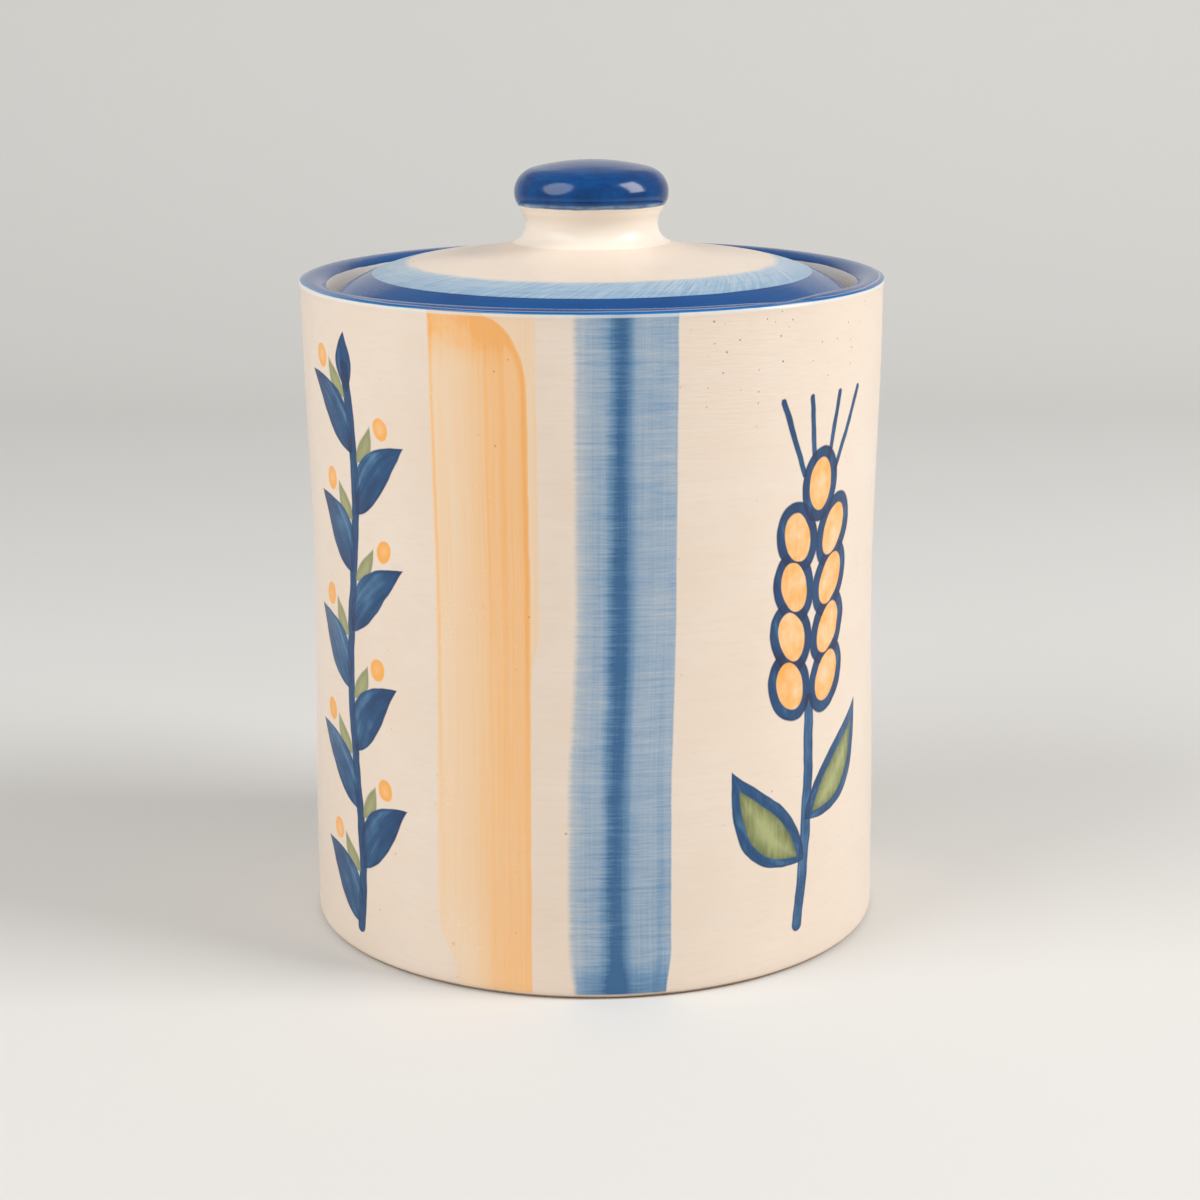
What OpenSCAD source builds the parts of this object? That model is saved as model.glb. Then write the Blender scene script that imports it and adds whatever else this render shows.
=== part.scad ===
// Flour canister: a glazed stoneware jar with a gallery inside its rim, and a
// domed lid that drops onto the gallery. The mushroom knob is luted to the lid.
// Sizes are in millimetres. The jar stands on z = 0 and is centred on the z axis.

/* [Jar] */
// Height from the table to the crest of the rim
jar_h = 200.5; // [150:0.5:260]
// Outside diameter at the painted edge of the rim
rim_d = 178; // [140:1:230]
// How far the rim's painted edge stands out over the wall
rim_overhang = 0.6; // [0:0.1:1.5]
// Height of the flare that carries the wall out to that edge
flare_h = 3; // [1:0.5:6]
// How much narrower the wall is at the foot than at the rim, on the diameter
foot_narrowing = 0.4; // [0:0.1:20]
// How far the wall is drawn in at the waist, on the radius
waist_draw = 1.6; // [0:0.1:6]
// Height above the table where the wall starts to draw in
waist_low = 26; // [10:1:50]
// Depth below the rim's edge where the wall is back to its full width
waist_high = 8; // [5:1:50]
// Thickness of the wall
wall_t = 6.5; // [4:0.1:8.5]
// Thickness of the floor
floor_t = 7; // [4:0.1:12]

/* [Rim and gallery] */
// Width of the rim, from its painted edge to the gallery wall
rim_w = 8.6; // [6:0.1:12]
// Height of the rim's rounded crest over its painted edge
rim_crown = 0.9; // [0.6:0.1:1.2]
// How far the crest lies in from the painted edge
crest_in = 3.6; // [3.2:0.1:4.2]
// Depth of the gallery ledge below the crest
gallery_depth = 11; // [8:0.5:18]
// Width of the gallery ledge
ledge_w = 6.4; // [4:0.1:10]
// Thickness of the ledge at its nose
ledge_t = 4; // [2:0.5:8]
// Height of the slope that carries the ledge off the wall
ledge_slope_h = 9; // [4:0.5:20]
// Radius of the hollow corner where the ledge meets the gallery wall
gallery_fillet = 1; // [0.5:0.1:2]
// Radius of the ledge's rounded nose
nose_round = 1.5; // [0.5:0.1:2]

/* [Foot and floor] */
// Radius of the corner between the wall and the foot
foot_round = 2.5; // [1:0.1:5]
// Width of the unglazed ring that the jar stands on
foot_ring_w = 11; // [5:0.5:25]
// Depth of the shaved recess inside the foot ring
foot_recess = 1.4; // [0.5:0.1:3]
// Radius of the corner between the wall and the floor, inside
floor_round = 9; // [3:0.5:16]

/* [Lid] */
// Gap between the lid and the gallery wall, all round
lid_gap = 2.2; // [1.2:0.1:4]
// Height of the widest part of the lid's edge above the ledge
lid_edge_h = 4.4; // [3.6:0.1:6]
// Radius of the edge's upper corner
edge_round = 2.2; // [1:0.1:4]
// Width of the shoulder, from the end of the dome to the lid's edge
shoulder_w = 24.8; // [20:0.1:30]
// Radius of the shoulder's curve
shoulder_r = 60; // [50:1:90]
// Radius of the dome's curve
dome_r = 363; // [240:1:600]
// Radius of the hollow sweep that rises from the dome to the knob's foot
sweep_r = 65; // [20:1:110]
// Thickness of the dome
lid_t = 6.5; // [4:0.1:8]
// Width of the flat seat ring under the lid's edge
seat_w = 8.2; // [5:0.1:12]
// Radius of the lower corner of the lid's edge
seat_round = 1.4; // [0.5:0.1:2]
// Diameter of the vent that opens the hollow knob for firing
vent_d = 6; // [3:0.5:10]

/* [Knob] */
// Diameter of the cap at its widest
cap_d = 46.8; // [38:0.1:60]
// Height of the knob above its land on the lid
knob_h = 24.5; // [21:0.1:40]
// Height of the crest over the widest part of the cap
cap_rise = 9.5; // [8.2:0.1:13]
// Radius of the cap's rolled edge
cap_round = 7.5; // [4:0.1:8]
// How far the cap's lower lip is set in from its widest part, on the radius
lip_in = 1.8; // [0.5:0.1:3]
// How far the neck is drawn in under the lip, on the radius
neck_in = 1.6; // [1:0.1:4]
// Radius of the hollow curve round the neck
neck_round = 5.8; // [5.5:0.1:8]
// Slope of the surface where the knob's foot meets the lid, in degrees
foot_slope = 19; // [14:1:35]
// Thickness of the hollow knob's wall
knob_t = 6; // [4:0.1:9]

/* [Hidden] */
$fn = 240;
cream = [0.93, 0.85, 0.76];
band_blue = [0.62, 0.73, 0.81];
cobalt = [0.03, 0.31, 0.53];
// Straight steps that draw the wall's long curve, and those in a rounded corner or the flare
wall_steps = 24;
arc_steps = 10;

// Jar
rim_r = rim_d / 2;
rim_edge_z = jar_h - rim_crown;
flare_z = rim_edge_z - flare_h;
crown_r = (pow(crest_in, 2) + pow(rim_crown, 2)) / (2 * rim_crown);
crown_c = [rim_r - crest_in, jar_h - crown_r];
crown_out_a = acos(crest_in / crown_r);
crown_in_a = acos((crest_in - rim_w) / crown_r);
waist_z = (waist_low + rim_edge_z - waist_high) / 2;
waist_reach = waist_z - waist_low;
gallery_r = rim_r - rim_w;
ledge_z = jar_h - gallery_depth;
mouth_r = gallery_r - ledge_w;
slope_top_z = ledge_z - ledge_t;
slope_foot_z = slope_top_z - ledge_slope_h;

// Lid, drawn where it rests on the ledge. Each curve of its top touches the next, so the
// lid is built up from its edge to the dome. A sweep carries the dome up to the knob's foot.
lid_r = gallery_r - lid_gap;
edge_c = [lid_r - edge_round, ledge_z + lid_edge_h];
shoulder_end_x = lid_r - shoulder_w;
shoulder_x = shoulder_end_x * (dome_r - shoulder_r) / dome_r;
shoulder_c = [shoulder_x, edge_c[1] - rise(shoulder_r - edge_round, edge_c[0] - shoulder_x)];
dome_c = [0, shoulder_c[1] - rise(dome_r - shoulder_r, shoulder_x)];
edge_end_x = shoulder_x + (edge_c[0] - shoulder_x) * shoulder_r / (shoulder_r - edge_round);

// Knob, drawn on its land, which is the flat end of the sweep
lip_r = cap_d / 2 - lip_in;
neck_r = lip_r - neck_in;
neck_z = neck_round * cos(foot_slope);
foot_r = neck_r + neck_round * (1 - sin(foot_slope));
sweep_x = foot_r + sweep_r * sin(foot_slope);
sweep_c = [sweep_x, dome_c[1] + rise(dome_r + sweep_r, sweep_x)];
sweep_end_x = sweep_x * dome_r / (dome_r + sweep_r);
land_z = sweep_c[1] - sweep_r * cos(foot_slope);
cap_c = [cap_d / 2 - cap_round, land_z + knob_h - cap_rise];
crest_r = (pow(cap_c[0], 2) + pow(cap_rise, 2) - pow(cap_round, 2)) / (2 * (cap_rise - cap_round));
crest_end_x = cap_c[0] * crest_r / (crest_r - cap_round);
hollow_h = knob_h - knob_t;

// Height of a circle of radius r over its centre, at x from the centre
function rise(r, x) = sqrt(pow(r, 2) - pow(x, 2));

// Share of the waist's draw at height z: nothing at both ends, all of it in the middle
function waist_share(z) =
    abs(z - waist_z) < waist_reach ? pow(cos(90 * (z - waist_z) / waist_reach), 2) : 0;

// Share of the rim's overhang that the flare has gained at height z
function flare_share(z) = z > flare_z ? 1 - cos(90 * (z - flare_z) / flare_h) : 0;

// Outside radius of the wall at height z
function wall_r(z) =
    rim_r - rim_overhang * (1 - flare_share(z)) - foot_narrowing / 2 * (1 - z / rim_edge_z)
        - waist_draw * waist_share(z);

// Points of an arc about c from angle a to angle b, without the first point
function arc_points(c, r, a, b) =
    [for (i = [1:arc_steps])
        let (t = a + (b - a) * i / arc_steps) [c[0] + r * cos(t), c[1] + r * sin(t)]];

// Points along the wall in a number of straight steps, set in by inset, without the first
function wall_points(from_z, to_z, inset, steps) =
    [for (i = [1:steps])
        let (z = from_z + (to_z - from_z) * i / steps) [wall_r(z) - inset, z]];

// Half section of the jar: under the foot, up the outside, over the rim, down the inside
module jar_section() {
    floor_c_z = floor_t + floor_round;
    foot_c = [wall_r(foot_round) - foot_round, foot_round];
    floor_c = [wall_r(floor_c_z) - wall_t - floor_round, floor_c_z];
    gallery_c = [gallery_r - gallery_fillet, ledge_z + gallery_fillet];
    nose_c = [mouth_r + nose_round, ledge_z - nose_round];
    recess_r = foot_c[0] - foot_ring_w;
    polygon(concat(
        [[0, foot_recess], [recess_r - foot_recess, foot_recess], [recess_r, 0], [foot_c[0], 0]],
        arc_points(foot_c, foot_round, -90, 0),
        wall_points(foot_round, flare_z, 0, wall_steps),
        wall_points(flare_z, rim_edge_z, 0, arc_steps),
        arc_points(crown_c, crown_r, crown_out_a, crown_in_a),
        [[gallery_r, gallery_c[1]]],
        arc_points(gallery_c, gallery_fillet, 0, -90),
        [[nose_c[0], ledge_z]],
        arc_points(nose_c, nose_round, 90, 180),
        [[mouth_r, slope_top_z], [wall_r(slope_foot_z) - wall_t, slope_foot_z]],
        wall_points(slope_foot_z, floor_c_z, wall_t, wall_steps),
        arc_points(floor_c, floor_round, 0, -90),
        [[0, floor_t]]
    ));
}

module jar() {
    color(cream) rotate_extrude() jar_section();
}

// A circle about c, kept only out to end_x
module disc_to(c, r, end_x) {
    intersection() {
        translate(c) circle(r = r);
        translate([0, c[1]]) square([end_x, r + 1]);
    }
}

// The collar of clay inside the hollow sweep, open at the top
module lid_collar() {
    difference() {
        translate([0, edge_c[1]]) square([sweep_end_x, land_z - ledge_z]);
        translate(sweep_c) circle(r = sweep_r);
    }
}

// Everything under the lid's collar, dome, shoulder and edge, down to the ledge
module lid_blank() {
    lid_collar();
    disc_to(dome_c, dome_r, shoulder_end_x);
    disc_to(shoulder_c, shoulder_r, edge_end_x);
    translate(edge_c) circle(r = edge_round);
    translate([0, ledge_z]) square([lid_r, lid_edge_h]);
}

// The same with a flat seat, the knob's land, and the round under the edge
module lid_trimmed() {
    intersection() {
        lid_blank();
        union() {
            translate([0, ledge_z]) square([lid_r - seat_round, land_z - ledge_z]);
            translate([0, ledge_z + seat_round]) square([lid_r, land_z - ledge_z - seat_round]);
            translate([lid_r - seat_round, ledge_z + seat_round]) circle(r = seat_round);
        }
    }
}

// Hollow under the dome, inside the seat ring, with the vent through its top
module lid_hollow() {
    disc_to(dome_c, dome_r - lid_t, lid_r - seat_w);
    square([vent_d / 2, land_z + 1]);
}

module lid() {
    color(band_blue) rotate_extrude() difference() {
        lid_trimmed();
        lid_hollow();
    }
}

// Mushroom cap: a rolled edge under a shallow crest
module cap_section() {
    translate(cap_c) circle(r = cap_round);
    intersection() {
        translate([0, land_z + knob_h - crest_r]) circle(r = crest_r);
        translate([0, cap_c[1] - cap_round / 2]) square([crest_end_x, cap_rise + cap_round]);
    }
}

// Neck that flares to the lip above and to the land below
module neck_section() {
    difference() {
        union() {
            translate([0, land_z]) square([lip_r, cap_c[1] - land_z]);
            translate([0, land_z]) square([foot_r, neck_z]);
        }
        translate([neck_r + neck_round, land_z + neck_z]) circle(r = neck_round);
    }
}

module lid_knob() {
    color(cobalt) rotate_extrude() difference() {
        intersection() {
            union() {
                cap_section();
                neck_section();
            }
            translate([0, land_z]) square([cap_d, knob_h + 1]);
        }
        translate([0, land_z - 1]) square([neck_r - knob_t, hollow_h + 1]);
    }
}

jar();
lid();
lid_knob();
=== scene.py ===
import math

import bpy
import numpy as np
from mathutils import Matrix, Vector


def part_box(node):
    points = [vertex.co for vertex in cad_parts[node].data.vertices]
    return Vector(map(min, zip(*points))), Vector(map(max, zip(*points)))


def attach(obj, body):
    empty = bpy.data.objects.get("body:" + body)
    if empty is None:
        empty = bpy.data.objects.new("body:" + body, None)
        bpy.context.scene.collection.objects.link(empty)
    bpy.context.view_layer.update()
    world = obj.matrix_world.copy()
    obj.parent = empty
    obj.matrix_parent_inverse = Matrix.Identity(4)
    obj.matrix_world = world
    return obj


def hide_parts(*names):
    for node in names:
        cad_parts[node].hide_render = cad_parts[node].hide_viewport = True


# A glazed stoneware canister with a drop-in lid. The three CAD nodes are replaced by finely
# turned meshes on the same profiles, with the slight unevenness of hand work. All the
# painting is worked out from each point's place on the pot, so it has no image and no seam.
# Sizes are in millimetres unless a name says otherwise.

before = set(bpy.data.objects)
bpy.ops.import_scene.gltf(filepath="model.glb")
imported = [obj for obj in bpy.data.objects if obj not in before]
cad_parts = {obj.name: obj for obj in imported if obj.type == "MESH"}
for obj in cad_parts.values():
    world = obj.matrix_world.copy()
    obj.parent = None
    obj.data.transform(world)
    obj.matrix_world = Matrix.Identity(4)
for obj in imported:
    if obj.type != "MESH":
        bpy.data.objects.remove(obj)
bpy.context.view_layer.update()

MM = 0.001
PER_METRE = 1000

# Sizes of the turned shapes
RIM_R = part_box("jar")[1].x / MM
JAR_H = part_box("jar")[1].z / MM
LID_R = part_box("lid")[1].x / MM
LEDGE_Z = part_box("lid")[0].z / MM
LAND_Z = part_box("lid_knob")[0].z / MM
KNOB_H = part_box("lid_knob")[1].z / MM - LAND_Z
RIM_OVERHANG = 0.6
FLARE_H = 3.0
FOOT_NARROWING = 0.2
WAIST_DRAW = 1.6
WAIST_LOW = 26.0
WAIST_HIGH = 8.0
WALL_T = 6.5
FLOOR_T = 7.0
RIM_W = 8.6
RIM_CROWN = 0.9
CREST_IN = 3.6
LEDGE_W = 6.4
LEDGE_T = 4.0
LEDGE_SLOPE_H = 9.0
GALLERY_FILLET = 1.0
NOSE_ROUND = 1.5
FOOT_ROUND = 2.5
FOOT_RING_W = 11.0
FOOT_RECESS = 1.4
FLOOR_ROUND = 9.0
LID_EDGE_H = 4.4
EDGE_ROUND = 2.2
SHOULDER_W = 24.8
SHOULDER_R = 60.0
DOME_R = 363.0
SWEEP_R = 65.0
LID_T = 6.5
SEAT_W = 8.2
SEAT_ROUND = 1.4
VENT_R = 3.0
CAP_R = 23.4
CAP_RISE = 9.5
CAP_ROUND = 7.5
LIP_IN = 1.8
NECK_IN = 1.6
NECK_ROUND = 5.8
FOOT_SLOPE = math.radians(19)
KNOB_T = 6.0

RIM_EDGE_Z = JAR_H - RIM_CROWN
WAIST_Z = (WAIST_LOW + RIM_EDGE_Z - WAIST_HIGH) / 2
WAIST_REACH = WAIST_Z - WAIST_LOW
GALLERY_R = RIM_R - RIM_W
MOUTH_R = GALLERY_R - LEDGE_W
LIP_R = CAP_R - LIP_IN
NECK_R = LIP_R - NECK_IN
LAND_R = NECK_R + NECK_ROUND * (1 - math.sin(FOOT_SLOPE))
CAP_Z = LAND_Z + KNOB_H - CAP_RISE


# Outlines

def rise(radius, x):
    """Height of a circle over its centre, at x from the centre."""
    return math.sqrt(radius ** 2 - x ** 2)


def arc(centre, radius, start, end, step=2.0):
    """Points of an arc about centre, from start to end in degrees, a few degrees apart."""
    count = max(2, round(abs(end - start) / step))
    angles = [math.radians(start + (end - start) * i / count) for i in range(count + 1)]
    return [(centre[0] + radius * math.cos(a), centre[1] + radius * math.sin(a)) for a in angles]


def wall_radius(z):
    """Outside radius of the jar's wall at height z."""
    off = np.minimum(1.0, abs(z - WAIST_Z) / WAIST_REACH)
    drawn = WAIST_DRAW * np.cos(math.pi / 2 * off) ** 2
    flare = 1 - np.cos(math.pi / 2 * np.clip((z - RIM_EDGE_Z + FLARE_H) / FLARE_H, 0, 1))
    return RIM_R - RIM_OVERHANG * (1 - flare) - FOOT_NARROWING * (1 - z / RIM_EDGE_Z) - drawn


def jar_outline():
    """Under the foot, up the outside, over the rim, down the gallery and the inside."""
    crown_r = (CREST_IN ** 2 + RIM_CROWN ** 2) / (2 * RIM_CROWN)
    crown_out = math.degrees(math.acos(CREST_IN / crown_r))
    crown_in = math.degrees(math.acos((CREST_IN - RIM_W) / crown_r))
    foot_c = (wall_radius(FOOT_ROUND) - FOOT_ROUND, FOOT_ROUND)
    floor_z = FLOOR_T + FLOOR_ROUND
    floor_c = (wall_radius(floor_z) - WALL_T - FLOOR_ROUND, floor_z)
    nose_c = (MOUTH_R + NOSE_ROUND, LEDGE_Z - NOSE_ROUND)
    gallery_c = (GALLERY_R - GALLERY_FILLET, LEDGE_Z + GALLERY_FILLET)
    slope_z = LEDGE_Z - LEDGE_T
    recess_r = foot_c[0] - FOOT_RING_W
    outside = [(wall_radius(z), z) for z in np.linspace(FOOT_ROUND, RIM_EDGE_Z, 400)]
    inside = [(wall_radius(z) - WALL_T, z) for z in np.linspace(slope_z - LEDGE_SLOPE_H, floor_z, 80)]
    return (
        [(0, FOOT_RECESS), (recess_r - FOOT_RECESS, FOOT_RECESS), (recess_r, 0)]
        + arc(foot_c, FOOT_ROUND, -90, 0)
        + outside
        + arc((RIM_R - CREST_IN, JAR_H - crown_r), crown_r, crown_out, crown_in)
        + arc(gallery_c, GALLERY_FILLET, 0, -90)
        + arc(nose_c, NOSE_ROUND, 90, 180)
        + [(MOUTH_R, slope_z)]
        + inside
        + arc(floor_c, FLOOR_ROUND, 0, -90)
        + [(0, FLOOR_T)]
    )


def lid_outline():
    """Out below the lid from its vent, round the edge and over the top to the knob's land."""
    edge_c = (LID_R - EDGE_ROUND, LEDGE_Z + LID_EDGE_H)
    shoulder_x = (LID_R - SHOULDER_W) * (DOME_R - SHOULDER_R) / DOME_R
    shoulder_c = (shoulder_x, edge_c[1] - rise(SHOULDER_R - EDGE_ROUND, edge_c[0] - shoulder_x))
    dome_z = shoulder_c[1] - rise(DOME_R - SHOULDER_R, shoulder_x)
    sweep_x = LAND_R + SWEEP_R * math.sin(FOOT_SLOPE)
    sweep_c = (sweep_x, dome_z + rise(DOME_R + SWEEP_R, sweep_x))
    sweep_end = math.degrees(math.asin(sweep_x / (DOME_R + SWEEP_R)))
    seat_r = LID_R - SEAT_W
    turn = math.degrees(math.atan2(edge_c[1] - shoulder_c[1], edge_c[0] - shoulder_c[0]))
    meet = math.degrees(math.acos(shoulder_x / (DOME_R - SHOULDER_R)))
    return (
        [(x, dome_z + rise(DOME_R - LID_T, x)) for x in np.linspace(VENT_R, seat_r, 40)]
        + [(seat_r, LEDGE_Z)]
        + arc((LID_R - SEAT_ROUND, LEDGE_Z + SEAT_ROUND), SEAT_ROUND, -90, 0, 6)
        + arc(edge_c, EDGE_ROUND, 0, turn, 6)
        + arc(shoulder_c, SHOULDER_R, turn, meet, 0.7)
        + arc((0, dome_z), DOME_R, meet, 90 - sweep_end, 0.1)
        + arc(sweep_c, SWEEP_R, -90 - sweep_end, -90 - math.degrees(FOOT_SLOPE), 0.7)
    )


def knob_outline():
    """From the foot up the neck and over the cap."""
    neck_c = (NECK_R + NECK_ROUND, LAND_Z + NECK_ROUND * math.cos(FOOT_SLOPE))
    lip = math.degrees(math.acos((neck_c[0] - LIP_R) / NECK_ROUND))
    cap_c = (CAP_R - CAP_ROUND, CAP_Z)
    crest_r = (cap_c[0] ** 2 + CAP_RISE ** 2 - CAP_ROUND ** 2) / (2 * (CAP_RISE - CAP_ROUND))
    crest_c = (0, LAND_Z + KNOB_H - crest_r)
    over = math.degrees(math.atan2(cap_c[1] - crest_c[1], cap_c[0]))
    under = -math.degrees(math.acos((LIP_R - cap_c[0]) / CAP_ROUND))
    return (
        arc(neck_c, NECK_ROUND, 270 - math.degrees(FOOT_SLOPE), 180 - lip)
        + arc(cap_c, CAP_ROUND, under, over)
        + arc(crest_c, crest_r, over, 90, 0.7)
    )


def soften(outline, radius):
    """The outline in fine steps, with its corners rounded as glaze rounds them."""
    points = np.array(outline, float)
    along = np.r_[0, np.cumsum(np.hypot(*np.diff(points, axis=0).T))]
    step = 0.2
    three_sigma = 3
    count = int(along[-1] / step)
    places = np.linspace(0, along[-1], count + 1)
    fine = np.stack([np.interp(places, along, points[:, k]) for k in (0, 1)], axis=1)
    reach = int(three_sigma * radius / step)
    weights = np.exp(-0.5 * (np.arange(-reach, reach + 1) * step / radius) ** 2)
    weights /= weights.sum()
    padded = np.pad(fine, ((reach, reach), (0, 0)), mode="reflect", reflect_type="odd")
    smooth = np.stack([np.convolve(padded[:, k], weights, "valid") for k in (0, 1)], axis=1)
    return np.vstack([fine[:1], smooth[1:-1], fine[-1:]])


def thin(points, turn, longest):
    """Every point where the outline has turned by so many degrees or gone a given length."""
    kept, bent, gone = [0], 0.0, 0.0
    for i in range(1, len(points) - 1):
        before, after = points[i] - points[i - 1], points[i + 1] - points[i]
        cross = before[0] * after[1] - before[1] * after[0]
        bent += abs(math.degrees(math.atan2(cross, before @ after)))
        gone += math.hypot(*before)
        limit = longest(points[i]) if callable(longest) else longest
        if bent >= turn or gone >= limit:
            kept.append(i)
            bent = gone = 0.0
    return points[kept + [len(points) - 1]]


# Turned meshes

SEGMENTS = 300          # Round the axis
SHARP = math.radians(40)


def waves(count, most_turns, most_rises, seed):
    """A smooth random function of angle and height, about one unit high."""
    random = np.random.default_rng(seed)
    turns = random.integers(1, most_turns + 1, count)
    rises = random.uniform(-most_rises, most_rises, count)
    phases = random.uniform(0, 2 * math.pi, count)
    sizes = random.uniform(0.4, 1.0, count) / turns

    def field(angle, z):
        parts = [s * np.sin(t * angle + q * z + p)
                 for s, t, q, p in zip(sizes, turns, rises, phases)]
        return sum(parts) / sizes.sum()

    return field


def step_up(x, low, high):
    """0 below low, 1 above high, and smooth between them."""
    t = np.clip((x - low) / (high - low), 0, 1)
    return t * t * (3 - 2 * t)


def turned(name, outline, warp, closed=False):
    """A closed mesh turned from the outline, each point then moved by warp, in metres.

    The outline runs with the solid on its left, so that the faces look outwards. It is
    joined up round its section if closed, and otherwise ends on the axis.
    """
    angle = np.arange(SEGMENTS) * 2 * math.pi / SEGMENTS
    rings = outline if closed else outline[1:-1]
    r, z = warp(rings[:, :1] + 0 * angle, angle, rings[:, 1:] + 0 * angle)
    places = np.stack([r * np.sin(angle), -r * np.cos(angle), z], axis=-1).reshape(-1, 3)
    every = np.arange(len(rings) * SEGMENTS).reshape(len(rings), SEGMENTS)
    high = np.roll(every, -1, axis=0) if closed else every[1:]
    low = every[:len(high)]
    quads = np.stack([low, np.roll(low, -1, 1), np.roll(high, -1, 1), high], axis=-1)
    faces = quads.reshape(-1, 4).tolist()
    if not closed:
        places = np.vstack([places, [[0, 0, outline[0, 1]], [0, 0, outline[-1, 1]]]])
        first, last = len(places) - 2, len(places) - 1
        inner, outer = every[0], every[-1]
        faces += [[first, int(b), int(a)] for a, b in zip(inner, np.roll(inner, -1))]
        faces += [[last, int(a), int(b)] for a, b in zip(outer, np.roll(outer, -1))]
    mesh = bpy.data.meshes.new(name)
    mesh.from_pydata((places * MM).tolist(), [], faces)
    mesh.shade_smooth()
    mesh.set_sharp_from_angle(angle=SHARP)
    piece = bpy.data.objects.new(name, mesh)
    bpy.context.scene.collection.objects.link(piece)
    return piece


wall_uneven = waves(7, 4, 0.03, 11)
rim_uneven = waves(6, 5, 0.0, 12)
rings_uneven = waves(5, 2, 0.9, 13)

# How far each unevenness moves the surface, in millimetres, and the knob's as a share
WALL_UNEVEN = 0.22
RINGS_UNEVEN = 0.05
WALL_INSET = 0.2        # Keeps the uneven wall inside the CAD's box
RIM_UNEVEN = 0.08
DOME_UNEVEN = 0.12
KNOB_UNEVEN = 0.004

# Low and high places of the rim: angle from the front, half width in degrees, and height
RIM_WAVES = ((-70, 20, -0.5), (-18, 24, 0.2), (40, 6.5, -0.65), (54, 9, 0.3), (150, 25, 0.3))


def crest_height(angle):
    """How much higher or lower the rim is there than it should be."""
    degrees = (np.degrees(angle) + 180) % 360 - 180
    waves_here = [high * np.exp(-((degrees - at) / wide) ** 2) for at, wide, high in RIM_WAVES]
    return sum(waves_here) + RIM_UNEVEN * rim_uneven(angle, 0 * angle)


def jar_warp(r, angle, z):
    """The thrown wall is a little out of round and ringed, and its rim is wavy."""
    outside = step_up(r, wall_radius(z) - WALL_T * 0.6, wall_radius(z) - 0.5)
    free = step_up(z, 3, 20) * (1 - step_up(z, LEDGE_Z - 5, LEDGE_Z - 1) * (1 - outside))
    uneven = WALL_UNEVEN * wall_uneven(angle, z) + RINGS_UNEVEN * rings_uneven(angle, z)
    r += free * (uneven - WALL_INSET)
    return r, z + step_up(z, RIM_EDGE_Z - 6, RIM_EDGE_Z) * crest_height(angle)


def lid_warp(r, angle, z):
    """The dome is a little uneven, but not where it meets the knob or the jar."""
    dome = step_up(r, 28, 40) * (1 - step_up(r, 60, 70)) * step_up(z, LEDGE_Z + 8, LEDGE_Z + 10)
    return r, z + DOME_UNEVEN * dome * wall_uneven(angle, r)


def knob_warp(r, angle, z):
    """The knob was turned by hand, so it's a touch out of round above its neck."""
    up = step_up(z, LAND_Z + 4, LAND_Z + 14)
    return r * (1 + KNOB_UNEVEN * up * rim_uneven(angle, z)), z


# Shader fields

class Field:
    """A number that varies over a surface: a socket in a material's node tree."""

    def __init__(self, tree, socket):
        self.tree = tree
        self.socket = socket

    def math(self, operation, *values):
        node = self.tree.nodes.new("ShaderNodeMath")
        node.operation = operation
        for entry, value in zip(node.inputs, values):
            feed(self.tree, entry, value)
        return Field(self.tree, node.outputs[0])

    def __add__(self, other):
        return self.math("ADD", self, other)

    def __sub__(self, other):
        return self.math("SUBTRACT", self, other)

    def __rsub__(self, other):
        return self.math("SUBTRACT", other, self)

    def __mul__(self, other):
        return self.math("MULTIPLY", self, other)

    def __truediv__(self, other):
        return self.math("DIVIDE", self, other)

    def __pow__(self, other):
        return self.math("POWER", self, other)

    def __abs__(self):
        return self.math("ABSOLUTE", self)

    __radd__ = __add__
    __rmul__ = __mul__

    def root(self):
        return self.math("SQRT", self)

    def sin(self):
        return self.math("SINE", self)

    def floor(self):
        return self.math("FLOOR", self)

    def most(self, other):
        return self.math("MAXIMUM", self, other)

    def least(self, other):
        return self.math("MINIMUM", self, other)

    def wrap(self, low, high):
        return self.math("WRAP", self, high, low)

    def clip(self, low=0.0, high=1.0):
        return self.most(low).least(high)

    def step(self, low, high):
        """0 below low, 1 above high, and smooth between them."""
        node = self.tree.nodes.new("ShaderNodeMapRange")
        node.interpolation_type = "SMOOTHSTEP"
        for entry, value in zip(node.inputs, (self, low, high)):
            feed(self.tree, entry, value)
        return Field(self.tree, node.outputs[0])

    def band(self, low, high, soft):
        """1 between low and high, with edges soft wide."""
        return self.step(low - soft, low + soft) * (1 - self.step(high - soft, high + soft))


def feed(tree, entry, value):
    """Links a field, or sets a plain number, on a node's input."""
    if isinstance(value, Field):
        tree.links.new(value.socket, entry)
    else:
        entry.default_value = value


def srgb(red, green, blue):
    """A colour given as it looks on a screen, 0 to 255, as the shader wants it."""
    parts = [c / 255 for c in (red, green, blue)]
    return [c / 12.92 if c <= 0.04045 else ((c + 0.055) / 1.055) ** 2.4 for c in parts] + [1.0]


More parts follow.
